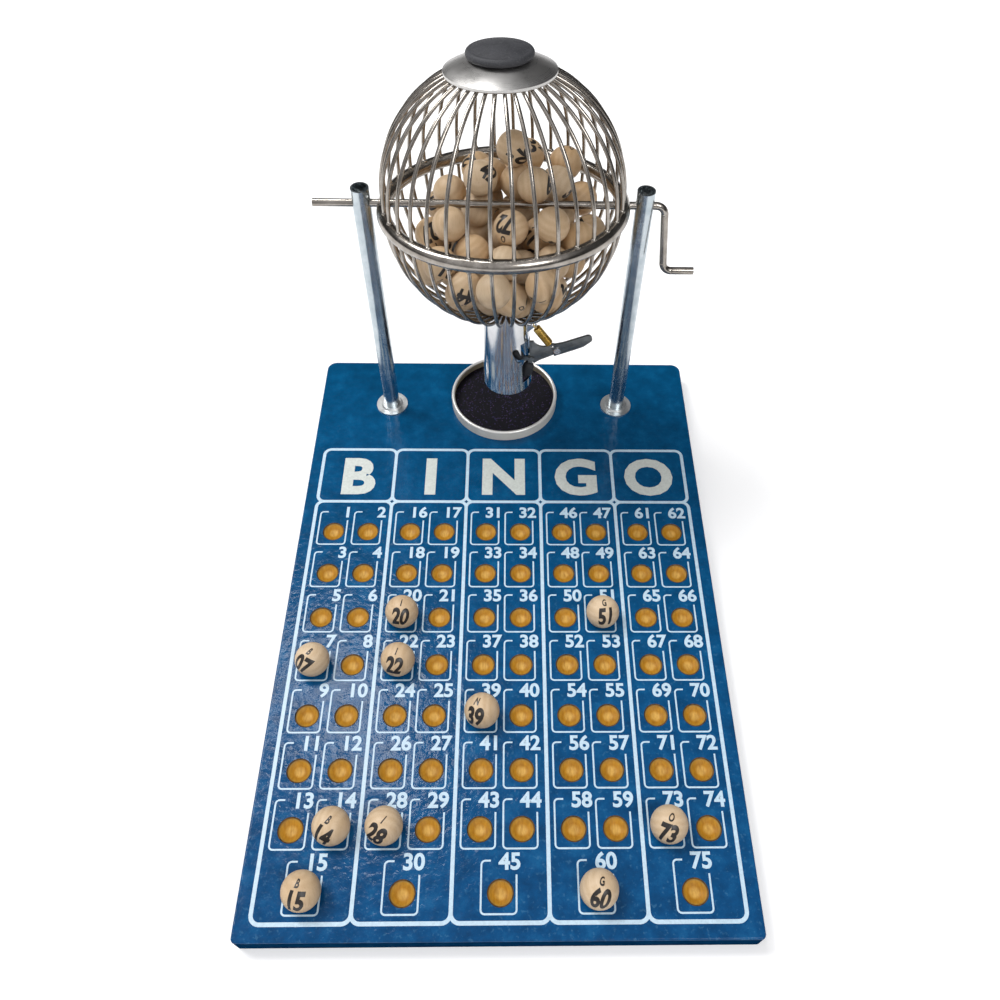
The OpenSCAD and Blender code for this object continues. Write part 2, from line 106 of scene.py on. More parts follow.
class Shader:
    """A material's nodes, made by short calls."""

    def __init__(self, name):
        self.material = bpy.data.materials.new(name)
        self.material.use_nodes = True
        self.tree = self.material.node_tree
        self.surface = self.tree.nodes["Principled BSDF"]
        self.place = self.node("ShaderNodeTexCoord").outputs["Object"]

    def node(self, kind, inputs=None, **settings):
        made = self.tree.nodes.new(kind)
        for key, value in settings.items():
            setattr(made, key, value)
        for key, value in (inputs or {}).items():
            self.put(made.inputs[key], value)
        return made

    def put(self, socket, value):
        if isinstance(value, bpy.types.NodeSocket):
            self.tree.links.new(value, socket)
        elif isinstance(value, (tuple, list)) and len(value) == 3 and socket.type == "RGBA":
            socket.default_value = (*value, 1)
        else:
            socket.default_value = value

    def set(self, **values):
        for key, value in values.items():
            self.put(self.surface.inputs[key.replace("_", " ")], value)

    def scaled(self, scale, place=None):
        made = self.node("ShaderNodeMapping", {"Vector": place or self.place})
        made.inputs["Scale"].default_value = scale
        return made.outputs["Vector"]

    def noise(self, scale, detail=4.0, rough=0.55, place=None):
        return self.node("ShaderNodeTexNoise", {
            "Vector": place or self.place, "Scale": scale, "Detail": detail,
            "Roughness": rough}).outputs["Fac"]

    def cells(self, scale, feature="F1", output="Distance"):
        return self.node("ShaderNodeTexVoronoi", {
            "Vector": self.place, "Scale": scale}, feature=feature).outputs[output]

    def ramp(self, factor, stops):
        made = self.node("ShaderNodeValToRGB", {"Fac": factor})
        band = made.color_ramp
        while len(band.elements) < len(stops):
            band.elements.new(0.5)
        for element, (position, colour) in zip(band.elements, stops):
            element.position = position
            element.color = (*colour, 1) if hasattr(colour, "__len__") else (colour,) * 3 + (1,)
        return made.outputs["Color"]

    def mix(self, factor, a, b):
        made = self.node("ShaderNodeMix", data_type="RGBA")
        self.put(made.inputs["Factor"], factor)
        self.put(made.inputs[6], a)
        self.put(made.inputs[7], b)
        return made.outputs[2]

    def math(self, operation, a, b=0.0):
        made = self.node("ShaderNodeMath", operation=operation)
        self.put(made.inputs[0], a)
        self.put(made.inputs[1], b)
        return made.outputs[0]

    def span(self, value, low, high, to_low=0.0, to_high=1.0):
        return self.node("ShaderNodeMapRange", {
            "Value": value, "From Min": low, "From Max": high,
            "To Min": to_low, "To Max": to_high}).outputs["Result"]

    def axis(self, name, place=None):
        made = self.node("ShaderNodeSeparateXYZ", {"Vector": place or self.place})
        return made.outputs[name]

    def bump(self, height, strength, distance):
        made = self.node("ShaderNodeBump", {
            "Height": height, "Strength": strength, "Distance": distance})
        self.set(Normal=made.outputs["Normal"])


def paint_board():
    """Glossy mottled blue lacquer over wood, with bare stained wood in the seats. Painted light: the
    lacquer is lighter towards the front and darker on the sides, and the seats carry a painted shade
    ring under the rim and a painted highlight at the bottom.
    """
    s = Shader("board_lacquer")
    mottle = s.noise(95, detail=7, rough=0.68)
    rings = s.cells(300, feature="SMOOTH_F1")
    front = s.span(s.axis("Y"), BOARD_LOW.y, BOARD_HIGH.y, 1.0, 0.0)
    # Painted light: a shaded blue for the back and a lit blue (pale) for the front, blended by
    # front, which runs from 1 at the front edge to 0 at the back.
    back_shaded_blue = s.ramp(mottle, ((0.30, (0.0006, 0.052, 0.130)), (0.55, (0.0010, 0.072, 0.180)),
                           (0.78, (0.0030, 0.105, 0.245))))
    pale = s.ramp(mottle, ((0.30, (0.0006, 0.038, 0.118)), (0.52, (0.0012, 0.062, 0.185)),
                           (0.78, (0.0090, 0.115, 0.280))))
    blue = s.mix(front, back_shaded_blue, pale)
    # Pale blue flecks: a real speckle finish, made stronger towards the front as painted glints.
    flecks = s.ramp(s.noise(420, detail=3), ((0.58, 0.0), (0.70, 1.0)))
    speckle_and_glints = s.math("MULTIPLY", flecks, s.math("MULTIPLY", front, 0.22))
    blue = s.mix(speckle_and_glints, blue, (0.10, 0.28, 0.44))
    wood_place = s.scaled((1.0, 0.3, 1.0))
    grain = s.noise(750, detail=6, place=wood_place)
    height = s.axis("Z")
    margin = 6 * MM
    depth = s.span(height, BOARD_TOP, BOARD_TOP - SEAT_DEPTH * MM)
    # Painted shade and light in the seats: the dark ring just under the rim is painted shade and the
    # paler bottom is painted light; the golden band between is the wood's colour.
    wood = s.ramp(depth, ((0.16, (0.030, 0.026, 0.016)), (0.27, (0.34, 0.210, 0.060)),
                          (0.42, (0.47, 0.235, 0.024)), (0.78, (0.44, 0.200, 0.014)),
                          (0.97, (0.62, 0.360, 0.080))))
    wood = s.mix(s.span(grain, 0.35, 0.75, 0.0, 0.75), wood, (0.25, 0.105, 0.008))
    below = s.math("LESS_THAN", height, BOARD_TOP - 0.05 * MM)
    above = s.math("GREATER_THAN", height, BOARD_TOP - (SEAT_DEPTH + 0.2) * MM)
    inside = s.math("LESS_THAN", s.math("ABSOLUTE", s.axis("X")), BOARD_HIGH.x - margin)
    behind = s.math("GREATER_THAN", s.axis("Y"), BOARD_LOW.y + margin)
    before = s.math("LESS_THAN", s.axis("Y"), BOARD_LOW.y + PRINT_SPLIT * MM)
    seat = s.math("MULTIPLY", s.math("MULTIPLY", below, above), inside)
    seat = s.math("MULTIPLY", s.math("MULTIPLY", behind, before), seat)
    side = s.math("LESS_THAN", height, BOARD_TOP - 0.8 * MM)
    outside = s.math("MULTIPLY", side, s.math("SUBTRACT", 1.0, seat))
    # Painted shade: the board's sides are darkened towards black navy.
    blue = s.mix(s.math("MULTIPLY", outside, 0.75), blue, (0.001, 0.012, 0.035))
    s.set(Base_Color=s.mix(seat, blue, wood),
          Roughness=s.mix(seat, s.span(rings, 0, 1, 0.10, 0.22), (0.5, 0.5, 0.5)),
          Specular_IOR_Level=s.span(outside, 0, 1, 0.18, 0.0))
    orange_peel = s.math("ADD", s.noise(330, detail=2), s.math("MULTIPLY", rings, 0.6))
    s.bump(orange_peel, strength=0.55, distance=0.0003)
    return s.material


def ink(name, colour):
    """Screen-printed ink, slightly worn and uneven."""
    s = Shader(name)
    wear = s.noise(700, detail=5, rough=0.7)
    tint = tuple(0.80 * c for c in colour)
    s.set(Base_Color=s.mix(s.span(wear, 0.35, 0.7), tint, colour),
          Roughness=s.span(wear, 0.3, 0.7, 0.30, 0.48))
    s.bump(wear, strength=0.12, distance=0.0001)
    return s.material


def metal(name, light, dark, rough=(0.12, 0.26), streak=(1, 1, 0.04), grime=0.35, relief=0.10):
    """Plated or polished metal: streaks along its length, dull patches and fine scratches."""
    s = Shader(name)
    along = s.scaled(streak)
    streaks = s.noise(2600, detail=5, rough=0.7, place=along)
    patches = s.noise(130, detail=5, rough=0.6)
    spots = s.ramp(s.noise(900, detail=3), ((0.62, 0.0), (0.72, 1.0)))
    colour = s.mix(s.span(patches, 0.38, 0.66), dark, light)
    dirt = s.math("MULTIPLY", spots, grime)
    colour = s.mix(dirt, colour, tuple(0.35 * c for c in dark))
    smooth = s.span(s.mix(0.5, streaks, patches), 0.3, 0.7, rough[0], rough[1])
    s.set(Base_Color=colour, Metallic=1.0, Roughness=smooth)
    s.bump(streaks, strength=relief, distance=0.00006)
    return s.material


def spun_cap():
    """Spun steel: fine rings round the cage's axis."""
    s = Shader("spun_steel")
    across = s.node("ShaderNodeVectorMath", {0: s.place}, operation="SUBTRACT")
    across.inputs[1].default_value = AXLE
    reach = s.node("ShaderNodeVectorMath", {0: across.outputs[0]}, operation="CROSS_PRODUCT")
    reach.inputs[1].default_value = CAGE_UP
    radius = s.node("ShaderNodeVectorMath", {0: reach.outputs[0]}, operation="LENGTH")
    rings = s.node("ShaderNodeTexNoise", {"W": radius.outputs["Value"], "Scale": 5200.0,
                                          "Detail": 4.0}, noise_dimensions="1D").outputs["Fac"]
    patches = s.noise(110, detail=5)
    s.set(Base_Color=s.mix(patches, (0.56, 0.545, 0.525), (0.74, 0.73, 0.71)), Metallic=1.0,
          Roughness=s.span(s.mix(0.4, rings, patches), 0.3, 0.7, 0.24, 0.42))
    s.bump(rings, strength=0.16, distance=0.00006)
    return s.material


def black_rubber(name, colour, fleck):
    """Moulded rubber, dusty and pitted."""
    s = Shader(name)
    dust = s.ramp(s.noise(1500, detail=6, rough=0.75), ((0.52, 0.0), (0.70, 1.0)))
    pits = s.cells(1400)
    clouds = s.noise(160, detail=4)
    base = s.mix(clouds, tuple(0.6 * c for c in colour), tuple(1.5 * c for c in colour))
    s.set(Base_Color=s.mix(s.math("MULTIPLY", dust, fleck), base, (0.17, 0.17, 0.18)),
          Roughness=s.span(clouds, 0.3, 0.7, 0.52, 0.74))
    s.bump(s.math("ADD", pits, dust), strength=0.30, distance=0.00015)
    return s.material


def enamel():
    """Cream tin lid: painted inside and out, with a painted highlight along the top of the rim."""
    s = Shader("cream_enamel")
    patches = s.noise(120, detail=5)
    inside = s.node("ShaderNodeVectorMath", {0: s.place}, operation="SUBTRACT")
    inside.inputs[1].default_value = (0, (TRAY_LOW.y + TRAY_HIGH.y) / 2, 0)
    flat = s.node("ShaderNodeVectorMath", {0: inside.outputs[0]}, operation="MULTIPLY")
    flat.inputs[1].default_value = (1, 1, 0)
    radius = s.node("ShaderNodeVectorMath", {0: flat.outputs[0]}, operation="LENGTH")
    wall = TRAY_HIGH.x - 0.5 * MM
    outer = s.span(radius.outputs["Value"], wall - 0.5 * MM, wall)
    paint = s.mix(outer, (0.36, 0.31, 0.22), (0.78, 0.75, 0.68))
    # Painted highlight: the top of the rim is painted near white, and the same band is also made
    # partly metallic.
    rim_highlight_band = s.span(s.axis("Z"), TRAY_HIGH.z - 0.9 * MM, TRAY_HIGH.z - 0.3 * MM)
    paint = s.mix(rim_highlight_band, paint, (0.88, 0.88, 0.86))
    s.set(Base_Color=s.mix(s.span(patches, 0.3, 0.7, 0, 0.35), paint, (0.52, 0.48, 0.40)),
          Metallic=s.span(rim_highlight_band, 0, 1, 0.0, 0.55), Roughness=s.span(patches, 0.3, 0.7, 0.28, 0.45))
    s.bump(s.noise(600), strength=0.1, distance=0.0001)
    return s.material


def glitter():
    """Black lining with fine coloured glitter."""
    s = Shader("glitter_lining")
    grains = s.cells(1700, output="Color")
    pick = s.axis("X", place=grains)
    spark = s.ramp(pick, ((0.90, 0.0), (0.97, 1.0)))
    hue = s.mix(s.axis("Y", place=grains), (0.030, 0.035, 0.11), (0.090, 0.050, 0.13))
    s.set(Base_Color=s.mix(spark, (0.0016, 0.0013, 0.0045), hue),
          Metallic=s.math("MULTIPLY", spark, 0.6), Roughness=s.span(spark, 0, 1, 0.75, 0.35),
          Specular_IOR_Level=0.25)
    s.bump(s.axis("Z", place=grains), strength=0.45, distance=0.0003)
    return s.material


def ball_wood():
    """Bare turned wood. grain_at is a place in each ball's own frame, tone its own shade."""
    s = Shader("turned_wood")
    local = s.node("ShaderNodeAttribute", attribute_name="grain_at").outputs["Vector"]
    tone = s.node("ShaderNodeAttribute", attribute_name="tone").outputs["Fac"]
    stretched = s.scaled((1, 1, 0.16), place=local)
    rings = s.node("ShaderNodeTexWave", {
        "Vector": stretched, "Scale": 95.0, "Distortion": 3.0, "Detail": 3.0,
        "Detail Scale": 1.2}, wave_type="RINGS", rings_direction="Z").outputs["Fac"]
    fibre = s.noise(1900, detail=6, rough=0.7, place=s.scaled((1, 1, 0.07), place=local))
    clouds = s.noise(90, detail=4, place=local)
    pale = s.mix(rings, (0.620, 0.465, 0.300), (0.675, 0.520, 0.350))
    warm = s.mix(rings, (0.480, 0.290, 0.130), (0.550, 0.350, 0.170))
    colour = s.mix(tone, pale, warm)
    colour = s.mix(s.span(fibre, 0.50, 0.75, 0, 0.40), colour, (0.34, 0.190, 0.085))
    colour = s.mix(s.span(clouds, 0.5, 0.8, 0, 0.45), colour, (0.72, 0.56, 0.37))
    s.set(Base_Color=colour, Roughness=s.span(fibre, 0.3, 0.7, 0.42, 0.62))
    s.bump(s.math("ADD", fibre, s.math("MULTIPLY", rings, 0.3)), strength=0.30, distance=0.00015)
    return s.material


def floor_paper():
    """Pale studio floor."""
    s = Shader("studio_floor")
    s.set(Base_Color=s.mix(s.noise(6), (0.86, 0.86, 0.86), (0.88, 0.88, 0.88)), Roughness=0.8,
          Emission_Color=(1, 1, 1), Emission_Strength=0.26)
    return s.material


# ---------- mesh helpers ----------

def add_object(name, mesh, material, body, smooth=True):
    """Links a new piece, gives it its material and lets it ride on its body, if it has just one."""
    piece = bpy.data.objects.new(name, mesh)
    bpy.context.scene.collection.objects.link(piece)
    mesh.materials.clear()
    mesh.materials.append(material)
    if smooth:
        mesh.shade_smooth()
    if body:
        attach(piece, body)
    return piece


def mesh_from(name, points, faces):
    """A checked mesh of the given name."""
    mesh = bpy.data.meshes.new(name)
    mesh.from_pydata([tuple(p) for p in points], [], faces)
    mesh.validate()
    mesh.update()
    return mesh


def joined(name, parts):
    """One mesh from a list of (points, faces)."""
    points = []
    faces = []
    for part_points, part_faces in parts:
        first = len(points)
        points.extend(part_points)
        faces.extend([tuple(first + i for i in face) for face in part_faces])
    return mesh_from(name, points, faces)


def arc(centre, radius, start, end, steps=6):
    """Points of an arc in the plane, in degrees."""
    turns = np.radians(np.linspace(start, end, steps + 1))
    return [(centre[0] + radius * math.cos(t), centre[1] + radius * math.sin(t)) for t in turns]


def round_box(left, bottom, right, top, radius):
    """A closed outline with round corners."""
    return (arc((right - radius, bottom + radius), radius, -90, 0)
            + arc((right - radius, top - radius), radius, 0, 90)
            + arc((left + radius, top - radius), radius, 90, 180)
            + arc((left + radius, bottom + radius), radius, 180, 270))


def ribbon(path, width, low, high, closed=False):
    """A flat printed line of constant width, as a thin closed solid: (points, faces)."""
    path = [Vector(p) for p in path]
    count = len(path)
    left = []
    right = []
    for i, here in enumerate(path):
        before = path[i - 1] if closed or i > 0 else here
        after = path[(i + 1) % count] if closed or i < count - 1 else here
        way = ((here - before).normalized() + (after - here).normalized()).normalized()
        side = Vector((-way.y, way.x)) * width / 2
        left.append(here + side)
        right.append(here - side)
    points = [(p.x, p.y, z) for z in (low, high) for line in (left, right) for p in line]
    faces = []
    for i in range(count if closed else count - 1):
        j = (i + 1) % count
        l0, l1, r0, r1 = i, j, count + i, count + j
        up = 2 * count
        faces += [(l0, l1, r1, r0), (l0 + up, r0 + up, r1 + up, l1 + up),
                  (l0, l0 + up, l1 + up, l1), (r0, r1, r1 + up, r0 + up)]
    if not closed:
        for i, turn in ((0, 1), (count - 1, -1)):
            end = (i, count + i, 3 * count + i, 2 * count + i)
            faces.append(end[::turn])
    return points, faces


def tube_along(path, radius, sides=10):
    """A round bar swept along a path, closed at both ends: (points, faces)."""
    path = [Vector(p) for p in path]
    points = []
    way = (path[1] - path[0]).normalized()
    side = way.orthogonal().normalized()
    for i, here in enumerate(path):
        ahead = path[min(i + 1, len(path) - 1)]
        behind = path[max(i - 1, 0)]
        way = (ahead - behind).normalized()
        side = (side - way * side.dot(way)).normalized()
        up = way.cross(side)
        for k in range(sides):
            turn = 2 * math.pi * k / sides
            points.append(here + radius * (math.cos(turn) * side + math.sin(turn) * up))
    faces = []
    for i in range(len(path) - 1):
        for k in range(sides):
            a = i * sides + k
            b = i * sides + (k + 1) % sides
            faces.append((a, b, b + sides, a + sides))
    faces.append(tuple(range(sides - 1, -1, -1)))
    faces.append(tuple(range((len(path) - 1) * sides, len(path) * sides)))
    return points, faces


def text_mesh(body, height, weight, slant=0.0, thickness=0.0, align="CENTER"):
    """Plain sans lettering as (points, faces), in millimetres, with its base line at zero."""
    cap_share = 0.73
    curve = bpy.data.curves.new("lettering", "FONT")
    curve.body = body
    curve.size = height / cap_share
    curve.align_x = align
    curve.shear = slant
    curve.offset = weight
    curve.extrude = thickness / 2
    curve.resolution_u = 4
    holder = bpy.data.objects.new("lettering", curve)
    bpy.context.scene.collection.objects.link(holder)
    bpy.context.view_layer.update()
    mesh = bpy.data.meshes.new_from_object(holder)
    shape = bmesh.new()
    shape.from_mesh(mesh)
    bmesh.ops.remove_doubles(shape, verts=shape.verts, dist=1e-4)
    shape.verts.index_update()
    points = [v.co.copy() for v in shape.verts]
    faces = [tuple(v.index for v in f.verts) for f in shape.faces]
    shape.free()
    bpy.data.objects.remove(holder)
    bpy.data.curves.remove(curve)
    bpy.data.meshes.remove(mesh)
    return points, faces


def softened(node, width, body, material):
    """A copy of a flat CAD plate with its edges eased, which stands for the plate."""
    shape = bmesh.new()
    shape.from_mesh(NODES[node].data)
    bmesh.ops.remove_doubles(shape, verts=shape.verts, dist=1e-6)
    bmesh.ops.dissolve_limit(shape, angle_limit=math.radians(0.5),
                             verts=shape.verts, edges=shape.edges)
    mesh = bpy.data.meshes.new(node + "_eased")
    shape.to_mesh(mesh)
    shape.free()
    piece = add_object(node + "_eased", mesh, material, body)
    bevel = piece.modifiers.new("eased_edges", "BEVEL")
    bevel.width = width
    bevel.segments = 3
    bevel.limit_method = "ANGLE"
    bevel.angle_limit = math.radians(40)
    bevel.harden_normals = True
    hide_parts(node)
    return piece


# ---------- camera, light and floor ----------

def make_camera():
    """The photograph's view: steeply down over the front edge."""
    at = Vector((3.2, -253.9, 446.9)) * MM
    pitch_down = 53.82
    yaw = 2.2
    roll = 1.97
    camera = bpy.data.cameras.new("camera")
    camera.sensor_width = 36
    camera.lens = 31.86
    camera.shift_x = -0.0288
    camera.clip_start = 0.01
    holder = bpy.data.objects.new("camera", camera)
    turn = (Matrix.Rotation(math.radians(-yaw), 4, "Z")
            @ Matrix.Rotation(math.radians(90 - pitch_down), 4, "X")
            @ Matrix.Rotation(math.radians(roll), 4, "Z"))
    holder.matrix_world = Matrix.Translation(at) @ turn
    bpy.context.scene.collection.objects.link(holder)
    bpy.context.scene.camera = holder


def make_light(name, at, target, size, power):
    """A soft rectangular lamp: size in metres, power in watts."""
    lamp = bpy.data.lights.new(name, "AREA")
    lamp.shape = "RECTANGLE"
    lamp.size = size[0]
    lamp.size_y = size[1]
    lamp.energy = power
    holder = bpy.data.objects.new(name, lamp)
    way = Vector(target) - Vector(at)
    holder.rotation_euler = way.to_track_quat("-Z", "Y").to_euler()
    holder.location = at
    bpy.context.scene.collection.objects.link(holder)


def make_studio():
    """A room that is bright overhead, three soft lamps and a pale floor."""
    scene = bpy.context.scene
    scene.view_settings.view_transform = "Standard"
    world = bpy.data.worlds.new("studio")
    world.use_nodes = True
    tree = world.node_tree
    window_way = (-0.20, -0.45, 0.87)
    way = tree.nodes.new("ShaderNodeTexCoord")
    facing = tree.nodes.new("ShaderNodeVectorMath")
    facing.operation = "DOT_PRODUCT"
    facing.inputs[1].default_value = window_way
    room = tree.nodes.new("ShaderNodeValToRGB")
    shades = ((0.0, 0.06), (0.35, 0.07), (0.66, 0.48), (0.92, 0.70))
    band = room.color_ramp
    while len(band.elements) < len(shades):
        band.elements.new(0.5)
    for element, (place, shade) in zip(band.elements, shades):
        element.position = place
        element.color = (shade, shade, 1.03 * shade, 1)
    tree.links.new(way.outputs["Generated"], facing.inputs[0])
    tree.links.new(facing.outputs["Value"], room.inputs["Fac"])
    tree.links.new(room.outputs["Color"], tree.nodes["Background"].inputs["Color"])
    scene.world = world
    middle = (0, 0.1, 0.05)
    make_light("key", (-1.45, 0.9, 2.2), middle, (1.0, 1.0), 46)
    make_light("fill", (0.9, -1.3, 2.0), middle, (0.9, 0.9), 20)
    make_light("window", (-0.50, 0.92, 2.4), middle, (0.3, 0.6), 9.0)
    reach = 6
    corners = [(-reach, -reach, 0), (reach, -reach, 0), (reach, reach, 0), (-reach, reach, 0)]
    floor = mesh_from("floor", corners, [(0, 1, 2, 3)])
    floor.materials.append(floor_paper())
    holder = bpy.data.objects.new("floor", floor)
    scene.collection.objects.link(holder)


# ---------- the print on the board ----------

def board_point(x, y):
    """A place on the board, from its centre line and its front edge."""
    return x * MM, BOARD_LOW.y + y * MM


def seat_place(number):
    """Centre of a number's seat, from the centre line and the front edge, in millimetres."""
    column, place = divmod(number - 1, COLUMN_NUMBERS)
    x = (column - 2) * COLUMN_PITCH
    if place == COLUMN_NUMBERS - 1:
        return x, FIRST_ROW
    side = place % 2 - 0.5
    return x + side * SEAT_PITCH, FIRST_ROW + (7 - place // 2) * ROW_PITCH


def cell_outline(x, y):
    """The line round a seat, open at its top right, where the number stands."""
    left = x - 9.0
    right = x + 7.4
    bottom = y - 9.0
    top = y + 14.2
    r = CELL_CORNER_R
    return ([(left + 4.4, top)]
            + arc((left + r, top - r), r, 90, 180, 4)
            + arc((left + r, bottom + r), r, 180, 270, 4)
            + arc((right - r, bottom + r), r, 270, 360, 4)
            + [(right, y + 8.0)])


def print_lines(material):
    """Five header boxes, five columns and an open cell round each seat."""
    low = BOARD_TOP + 0.002 * MM
    levels = (PRINT_BOTTOM, PRINT_SPLIT, PRINT_TOP)
    parts = []
    for column in range(len(LETTERS)):
        left = (column - 2.5) * COLUMN_PITCH
        right = left + COLUMN_PITCH
        for row in range(2):
            bottom, top = levels[row:row + 2]
            # Boxes that share an edge lie at slightly different heights, so that no faces coincide
            lift = (PRINT_LIFT + 0.004 * (column % 2) + 0.008 * row) * MM
            outline = [board_point(x, y)
                       for x, y in round_box(left, bottom, right, top, COLUMN_CORNER_R)]
            parts.append(ribbon(outline, COLUMN_LINE * MM, low, BOARD_TOP + lift, closed=True))
    for number in range(1, LAST_NUMBER + 1):
        path = [board_point(x, y) for x, y in cell_outline(*seat_place(number))]
        parts.append(ribbon(path, CELL_LINE * MM, low, BOARD_TOP + PRINT_LIFT * MM))
    add_object("board_lines", joined("board_lines", parts), material, "base",
               smooth=False)


def placed_text(text, x, y):
    """Lettering moved to a place on the board."""
    points, faces = text
    moved = []
    for p in points:
        px, py = board_point(x + p.x, y + p.y)
        moved.append((px, py, BOARD_TOP + (PRINT_LIFT + p.z) * MM))
    return moved, faces


def print_numbers(material):
    """Each seat's number, at the open corner of its cell."""
    parts = []
    for number in range(1, LAST_NUMBER + 1):
        x, y = seat_place(number)
        text = text_mesh(str(number), 7.6, 0.32, thickness=INK_THICKNESS, align="RIGHT")
        parts.append(placed_text(text, x + 9.6, y + 10.4))
    add_object("board_numbers", joined("board_numbers", parts), material, "base",
               smooth=False)


def print_header(material):
    """The plain letter that heads each column."""
    parts = []
    for column, letter in enumerate(LETTERS):
        text = text_mesh(letter, 27.0, 1.5, thickness=INK_THICKNESS)
        parts.append(placed_text(text, (column - 2) * COLUMN_PITCH, PRINT_SPLIT + 6.8))
    add_object("header_letters", joined("header_letters", parts), material, "base",
               smooth=False)


# ---------- balls ----------

def sphere_centres(node):
    """Centres of the separate balls in a CAD node, sorted by their y, then x, then z."""
    shape = bmesh.new()
    shape.from_mesh(NODES[node].data)
    bmesh.ops.remove_doubles(shape, verts=shape.verts, dist=1e-6)
    todo = set(shape.verts)
    centres = []
    while todo:
        island = [todo.pop()]
        for vert in island:
            for edge in vert.link_edges:
                other = edge.other_vert(vert)
                if other in todo:
                    todo.remove(other)
                    island.append(other)
        spots = np.array([v.co for v in island])
        centres.append(Vector((spots.min(0) + spots.max(0)) / 2))
    shape.free()
    return sorted(centres, key=lambda c: (round(c.y, 5), round(c.x, 5), c.z))


def ball_shape(segments=40, rings=26):
    """A turned ball of radius 1: a sphere, a little flat and grooved round each pole."""
    flat = 0.012
    groove = 0.004
    groove_at = 0.28
    points = [Vector((0, 0, flat - 1))]
    for i in range(1, rings):
        turn = math.pi * i / rings
        reach = 1.0 - flat * max(0.0, math.cos(2 * turn) - 0.9) / 0.1
        reach -= groove * math.exp(-((min(turn, math.pi - turn) - groove_at) / 0.05) ** 2)
        for k in range(segments):
            spin = 2 * math.pi * k / segments
            points.append(reach * Vector((math.sin(turn) * math.cos(spin),
                                          math.sin(turn) * math.sin(spin), -math.cos(turn))))
    points.append(Vector((0, 0, 1 - flat)))
    faces = []
    last = len(points) - 1
    for k in range(segments):
        n = (k + 1) % segments
        faces.append((0, 1 + n, 1 + k))
        top = 1 + (rings - 2) * segments
        faces.append((last, top + k, top + n))
        for i in range(rings - 2):
            a = 1 + i * segments
            faces.append((a + k, a + n, a + segments + n, a + segments + k))
    return points, faces


def ball_group(name, node, centres, turns, tones, body, material):
    """All the balls of a node as one piece, each with its own grain and shade."""
    points, faces = ball_shape()
    parts = []
    grain = []
    shades = []
    for i, (centre, turn, tone) in enumerate(zip(centres, turns, tones)):
        parts.append(([centre + BALL_R * MM * (turn @ p) for p in points], faces))
        # Each ball is cut from another place in the wood
        shift = 0.05 * Vector((i % 7, i % 5, i % 11))
        grain += [tuple(p * BALL_R * MM + shift) for p in points]
        shades += [tone] * len(points)
    mesh = joined(name, parts)
    mesh.attributes.new("grain_at", "FLOAT_VECTOR", "POINT")
    mesh.attributes["grain_at"].data.foreach_set("vector", np.array(grain, np.float32).ravel())
    mesh.attributes.new("tone", "FLOAT", "POINT")
    mesh.attributes["tone"].data.foreach_set("value", np.array(shades, np.float32))
    piece = add_object(name, mesh, material, body)
    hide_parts(node)


def fine_text(body, height, weight, slant, longest=0.8):
    """Lettering cut into small faces so that it can follow a ball."""
    points, faces = text_mesh(body, height, weight, slant=slant, thickness=0.06)
    shape = bmesh.new()
    verts = [shape.verts.new(p) for p in points]
    for face in faces:
        if len(set(face)) > 2:
            shape.faces.new([verts[i] for i in face])
    for _ in range(3):
        long_edges = [e for e in shape.edges if e.calc_length() > longest]
        if long_edges:
            bmesh.ops.subdivide_edges(shape, edges=long_edges, cuts=1)
            bmesh.ops.triangulate(shape, faces=[f for f in shape.faces if len(f.verts) > 4])
    shape.verts.index_update()
    points = [v.co.copy() for v in shape.verts]
    faces = [tuple(v.index for v in f.verts) for f in shape.faces]
    shape.free()
    return points, faces


def wrapped(text, centre, face, up, drop):
    """Lettering bent onto a ball: face looks out of the ball, up is the top of the figures."""
    points, faces = text
    side = up.cross(face).normalized()
    up = face.cross(side).normalized()
    out = []
    for p in points:
        across = FIGURE_SQUEEZE * p.x / BALL_R
        rise = (p.y - drop) / BALL_R
        way = (math.cos(rise) * (math.cos(across) * face + math.sin(across) * side)
               + math.sin(rise) * up)
        out.append(centre + (BALL_R + MARK_LIFT + p.z) * MM * way)
    return out, faces


def ball_marks(name, centres, numbers, facings, body, material):
    """Each ball's number, with its column letter above."""
    parts = []
    for centre, number, (face, up) in zip(centres, numbers, facings):
        column = (number - 1) // COLUMN_NUMBERS
        figures = fine_text(f"{number:02d}", FIGURE_H, 0.55, 0.14)
        letter = fine_text(LETTERS[column], LETTER_H, 0.2, 0.14)
        parts.append(wrapped(figures, centre, face, up, 6.0))
        parts.append(wrapped(letter, centre, face, up, -4.6))
    add_object(name, joined(name, parts), material, body, smooth=False)


def look(azimuth, elevation, lean=0.0):
    """The way a ball's number faces and its up: azimuth 0 is the front, lean turns it over."""
    a = math.radians(azimuth)
    e = math.radians(elevation)
    face = Vector((math.sin(a) * math.cos(e), -math.cos(a) * math.cos(e), math.sin(e)))
    up = Vector((-math.sin(a) * math.sin(e), math.cos(a) * math.sin(e), math.cos(e)))
    return face, Matrix.Rotation(math.radians(lean), 3, face) @ up


